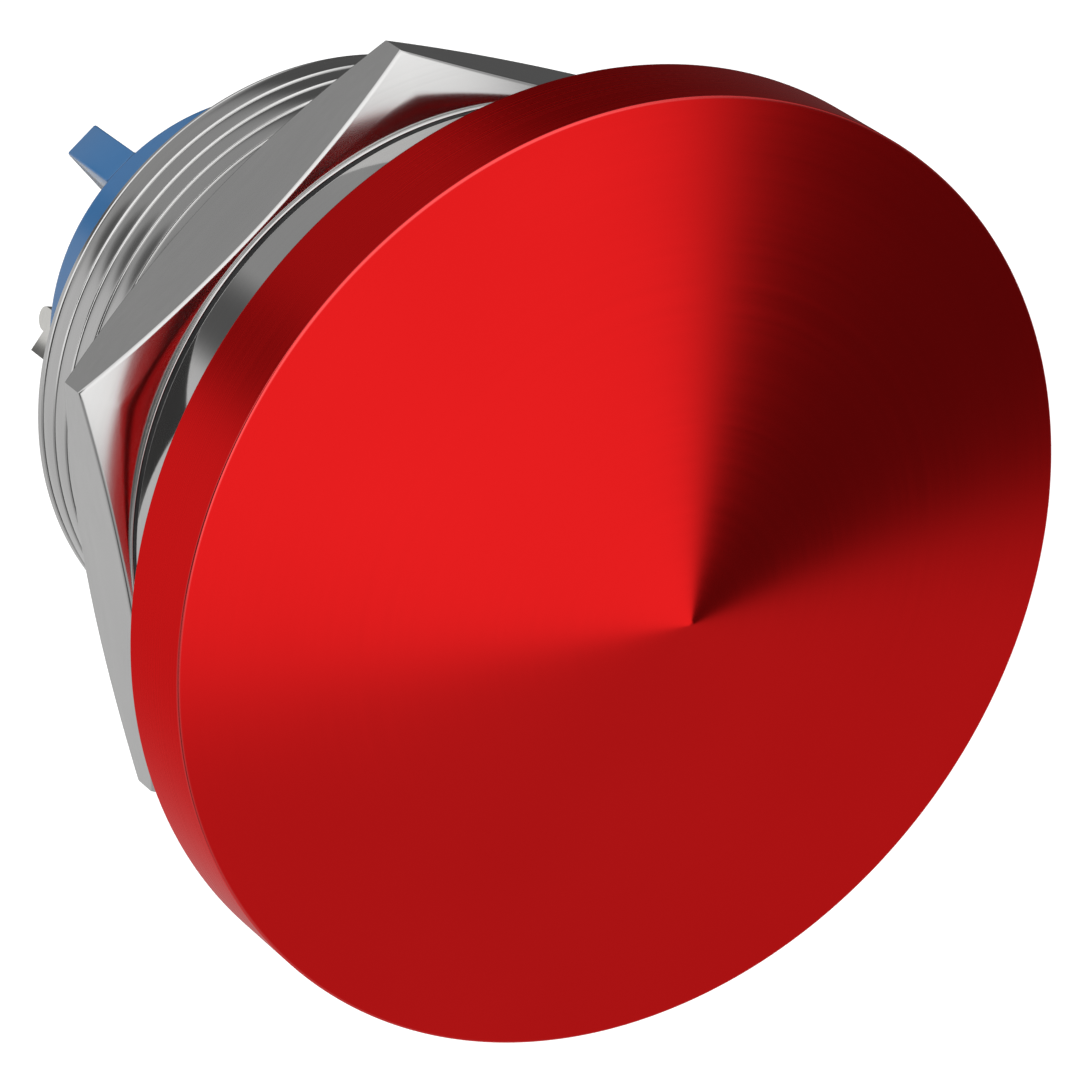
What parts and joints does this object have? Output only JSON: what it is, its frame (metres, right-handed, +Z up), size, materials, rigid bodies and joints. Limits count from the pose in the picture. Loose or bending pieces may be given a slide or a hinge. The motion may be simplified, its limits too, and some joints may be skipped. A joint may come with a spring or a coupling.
{
  "type": "emergency stop button",
  "caption": "Panel-mounted emergency stop button: red mushroom head on a threaded metal bushing, clamped by a hex nut, with a blue contact housing behind.",
  "frame": {"origin": "on the button's axis, in the plane of the flange's rear face, which the panel is drawn up to", "axes": "+Y along the axis, rearwards into the panel; the head faces -Y; +Z up"},
  "size_m": [0.037, 0.038, 0.037],
  "materials": {
    "red_anodised": "satin turned, red anodised",
    "nickel": "satin nickel plate on brass",
    "steel": "bright machined steel",
    "silver": "silver plated",
    "black_rubber": "matt",
    "blue_plastic": "moulded, half gloss",
    "white_plastic": "moulded",
    "black_resin": "cast"
  },
  "bodies": {
    "mount": {"bushing": "nickel", "guide_sleeve": "white_plastic", "stem_seal": "black_rubber", "panel_gasket": "black_rubber", "retaining_ring": "steel", "contact_housing": "blue_plastic", "terminal_base": "black_resin", "nc_terminal_left": "silver", "nc_terminal_right": "silver", "no_terminal_upper": "silver", "no_terminal_lower": "silver", "latch_spring": "steel", "return_spring": "steel"},
    "carrier": {"contact_carrier": "white_plastic", "nc_bridge": "silver", "no_bridge": "silver"},
    "head": {"mushroom_cap": "red_anodised", "stem": "steel", "stem_circlip": "steel"},
    "washer": {"clamp_washer": "nickel"},
    "nut": {"panel_nut": "nickel"},
    "ball_right": {"latch_ball_right": "steel"},
    "ball_left": {"latch_ball_left": "steel"}
  },
  "joints": [
    {"name": "head_push", "type": "slide", "parent": "mount", "child": "carrier", "axis": [0, 1, 0], "range_m": [0, 0.003], "stiffness_N_per_m": 1500, "springref_m": -0.004, "deforming": ["return_spring"]},
    {"name": "head_twist", "type": "hinge", "parent": "carrier", "child": "head", "pos_m": [0, 0, 0], "axis": [0, 1, 0], "range_deg": [0, 45], "stiffness_Nm_per_rad": 0.02},
    {"name": "nut_turn", "type": "hinge", "parent": "mount", "child": "washer", "pos_m": [0, 0, 0], "axis": [0, 1, 0], "range_deg": [0, 1800]},
    {"name": "nut_travel", "type": "slide", "parent": "washer", "child": "nut", "axis": [0, 1, 0], "range_m": [0, 0.005]},
    {"name": "ball_right_sink", "type": "slide", "parent": "mount", "child": "ball_right", "axis": [-1, 0, 0], "range_m": [0, 0.00075], "deforming": ["latch_spring"]},
    {"name": "ball_left_sink", "type": "slide", "parent": "mount", "child": "ball_left", "axis": [1, 0, 0], "range_m": [0, 0.00075]}
  ],
  "couplings": [
    {"joint": "nut_travel", "follows": "nut_turn", "m_per_rad": 0.00015915},
    {"joint": "ball_right_sink", "follows": "head_push", "ratio": 0.25},
    {"joint": "ball_left_sink", "follows": "head_push", "ratio": 0.25}
  ]
}
